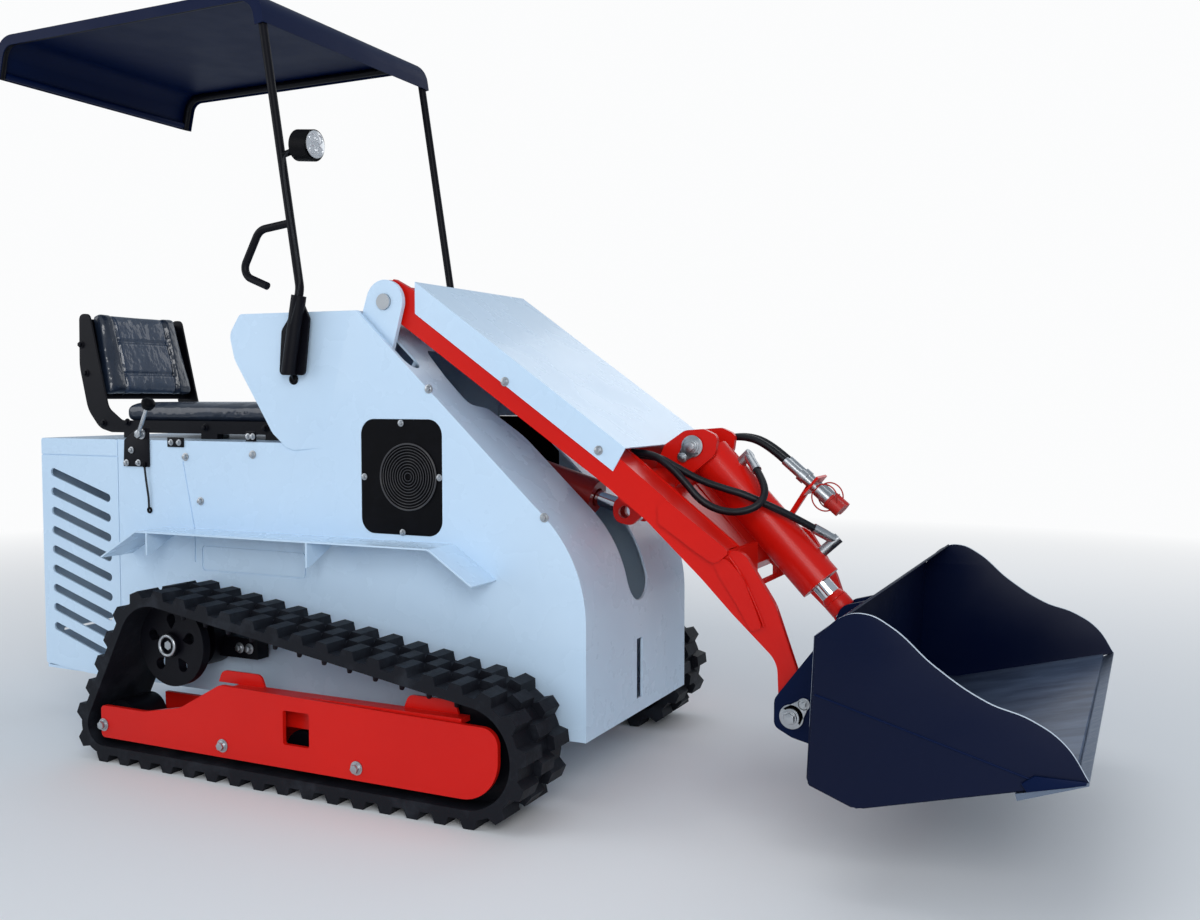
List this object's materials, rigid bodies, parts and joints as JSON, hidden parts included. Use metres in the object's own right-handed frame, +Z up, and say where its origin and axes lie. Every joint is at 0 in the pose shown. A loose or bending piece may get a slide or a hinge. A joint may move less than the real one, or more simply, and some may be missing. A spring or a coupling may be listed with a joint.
{
  "type": "compact track loader",
  "caption": "Compact rubber-tracked loader with ride-on seat, canopy, radial lift boom, central lift and tilt cylinders and a pinned bucket.",
  "frame": {"origin": "on the ground under the centre of the machine's footprint", "axes": "+X forwards to the bucket, +Y to the machine's left, +Z up"},
  "size_m": [2.9691, 1.14, 1.9865],
  "materials": {
    "white_paint": "gloss",
    "red_paint": "gloss",
    "maroon_paint": "gloss",
    "black_paint": "satin",
    "navy_paint": "satin",
    "rubber": "matte",
    "red_rubber": "matte",
    "chrome": "polished",
    "zinc_steel": "satin",
    "cast_iron": "matte",
    "seat_vinyl": "satin",
    "black_plastic": "matte"
  },
  "bodies": {
    "chassis": {"track_right": "rubber", "track_left": "rubber", "track_frame_right": "red_paint", "track_frame_left": "red_paint", "rollers_right": "black_paint", "rollers_left": "black_paint", "side_plate_right": "white_paint", "side_plate_left": "white_paint", "louvre_panel_right": "white_paint", "louvre_panel_left": "white_paint", "fender_right": "white_paint", "fender_left": "white_paint", "canopy_hoop_right": "black_paint", "canopy_hoop_left": "black_paint", "sprockets": "black_paint", "drive_motors": "black_paint", "fan_vents": "black_plastic", "post_brackets": "black_paint", "main_frame": "white_paint", "front_panel": "white_paint", "hood": "white_paint", "engine": "cast_iron", "console": "white_paint", "seat_pan": "black_paint", "seat_cushion": "seat_vinyl", "seat_back": "seat_vinyl", "throttle": "black_paint", "canopy_roof": "navy_paint", "lamp": "black_plastic", "grab_handle": "black_paint", "control_levers": "black_plastic"},
    "boom": {"boom_frame": "red_paint", "boom_pins": "zinc_steel", "boom_cover": "white_paint", "aux_couplers": "zinc_steel", "dust_caps": "red_rubber", "aux_bracket": "red_paint", "base_hose": "rubber", "rod_hose": "rubber", "aux_hose_inner": "rubber", "aux_hose_outer": "rubber"},
    "lift_barrel": {"lift_barrel": "maroon_paint"},
    "lift_rod": {"lift_rod": "chrome"},
    "tilt_barrel": {"tilt_barrel": "red_paint", "tilt_fittings": "zinc_steel"},
    "tilt_rod": {"tilt_rod": "chrome"},
    "bucket": {"bucket_shell": "navy_paint", "cutting_edge": "navy_paint", "bucket_ears": "navy_paint", "bucket_pins": "zinc_steel"},
    "rear_door": {"rear_door": "white_paint"}
  },
  "joints": [
    {"name": "boom_lift", "type": "hinge", "parent": "chassis", "child": "boom", "pos_m": [-0.175, 0, 1.19], "axis": [0, -1, 0], "range_deg": [-8.5, 70]},
    {"name": "lift_barrel_pivot", "type": "hinge", "parent": "chassis", "child": "lift_barrel", "pos_m": [-0.275, 0, 0.86], "axis": [0, -1, 0], "range_deg": [-8.41, 59.78]},
    {"name": "lift_rod_slide", "type": "slide", "parent": "lift_barrel", "child": "lift_rod", "axis": [0.9578, 0, -0.2873], "range_m": [-0.0531, 0.3774]},
    {"name": "bucket_tilt", "type": "hinge", "parent": "boom", "child": "bucket", "pos_m": [0.88, 0, 0.266], "axis": [0, -1, 0], "range_deg": [-105, 12]},
    {"name": "tilt_barrel_pivot", "type": "hinge", "parent": "boom", "child": "tilt_barrel", "pos_m": [0.562, 0, 0.832], "axis": [0, -1, 0], "range_deg": [-6.16, 0.82], "deforming": ["base_hose", "rod_hose"]},
    {"name": "tilt_rod_slide", "type": "slide", "parent": "tilt_barrel", "child": "tilt_rod", "axis": [0.6858, 0, -0.7278], "range_m": [-0.0402, 0.3011]},
    {"name": "rear_door_hinge", "type": "hinge", "parent": "chassis", "child": "rear_door", "pos_m": [-1.405, 0.286, 0.528], "axis": [0, 0, -1], "range_deg": [0, 105]}
  ],
  "couplings": [
    {"joint": "lift_barrel_pivot", "follows": "boom_lift", "ratio": 0.8353},
    {"joint": "lift_rod_slide", "follows": "boom_lift", "m_per_rad": 0.3021},
    {"joint": "tilt_barrel_pivot", "follows": "bucket_tilt", "ratio": 0.0574},
    {"joint": "tilt_rod_slide", "follows": "bucket_tilt", "m_per_rad": -0.1607}
  ]
}
